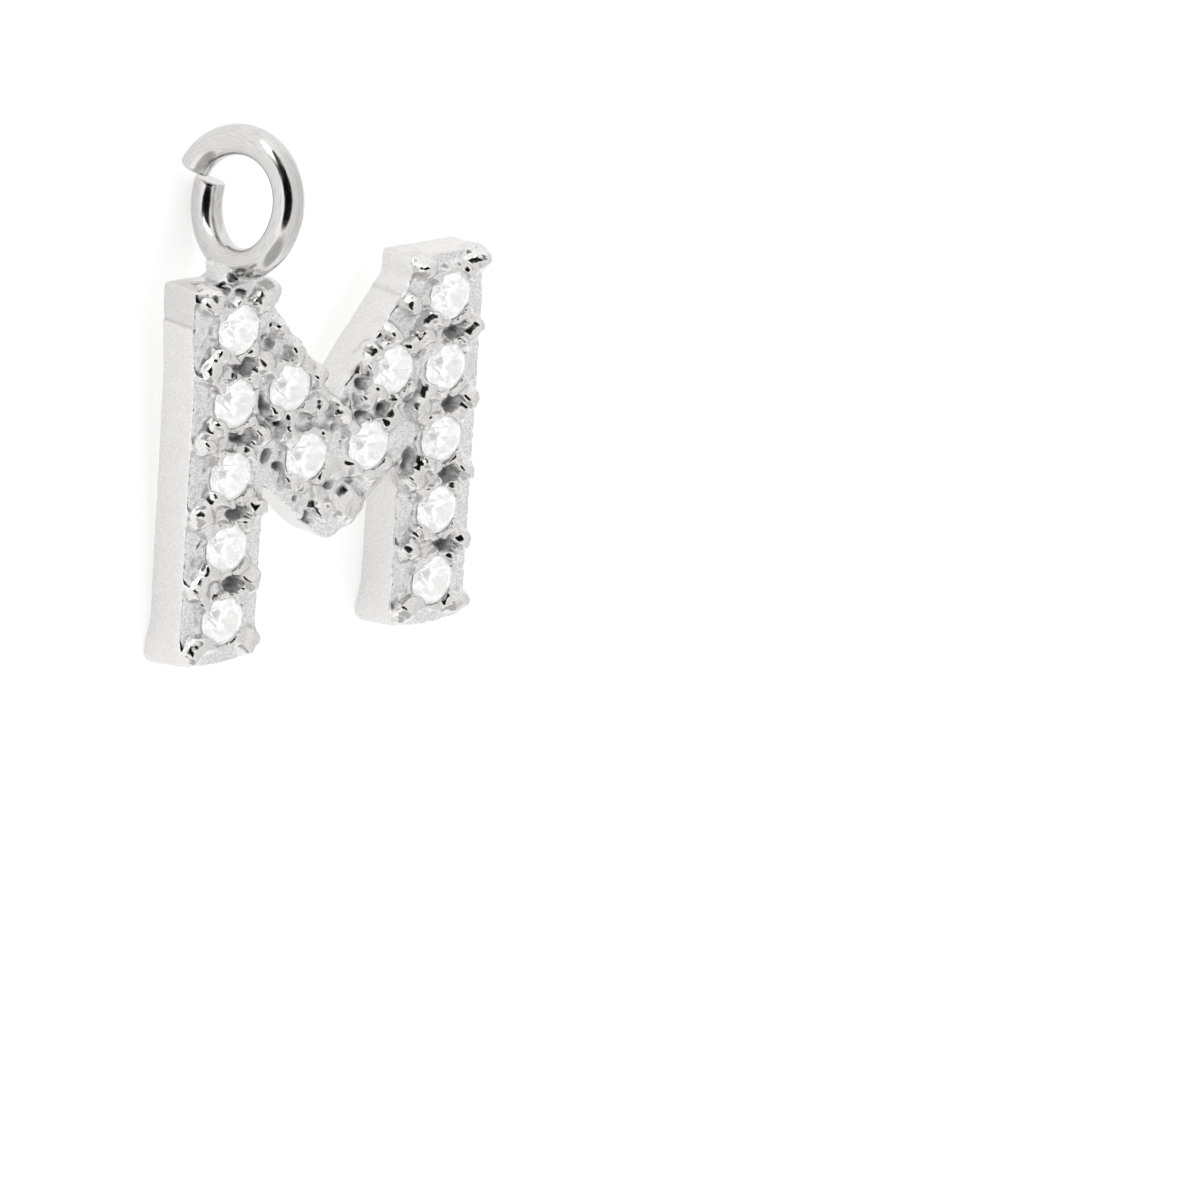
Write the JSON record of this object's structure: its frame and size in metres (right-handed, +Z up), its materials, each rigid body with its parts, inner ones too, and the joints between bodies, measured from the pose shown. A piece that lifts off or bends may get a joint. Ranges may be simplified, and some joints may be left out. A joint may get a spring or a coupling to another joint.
{
  "type": "initial pendant",
  "caption": "Small letter pendant cast in silver and set with rows of round brilliants held by raised beads, hung from an open jump ring soldered to the top of a leg.",
  "frame": {"origin": "the middle of the bounding box, at the bottom, where the pendant lies on its back", "axes": "+X to the letter's right, +Y from its feet to its top, +Z up, out of its stone-set face; the letter is tilted about X by 6.1 degrees, because its head rests on the jump ring"},
  "size_m": [0.008, 0.0116, 0.0033],
  "materials": {
    "silver": "satin cast face and sides, polished ring and beads",
    "stones": "faceted and polished, colourless"
  },
  "bodies": {
    "root": {"letter_setting": "silver", "left_leg_stone_1": "stones", "left_leg_stone_2": "stones", "left_leg_stone_3": "stones", "left_leg_stone_4": "stones", "left_leg_stone_5": "stones", "right_leg_stone_1": "stones", "right_leg_stone_2": "stones", "right_leg_stone_3": "stones", "right_leg_stone_4": "stones", "right_leg_stone_5": "stones", "left_arm_stone_1": "stones", "left_arm_stone_2": "stones", "right_arm_stone_1": "stones", "right_arm_stone_2": "stones"}
  },
  "joints": []
}
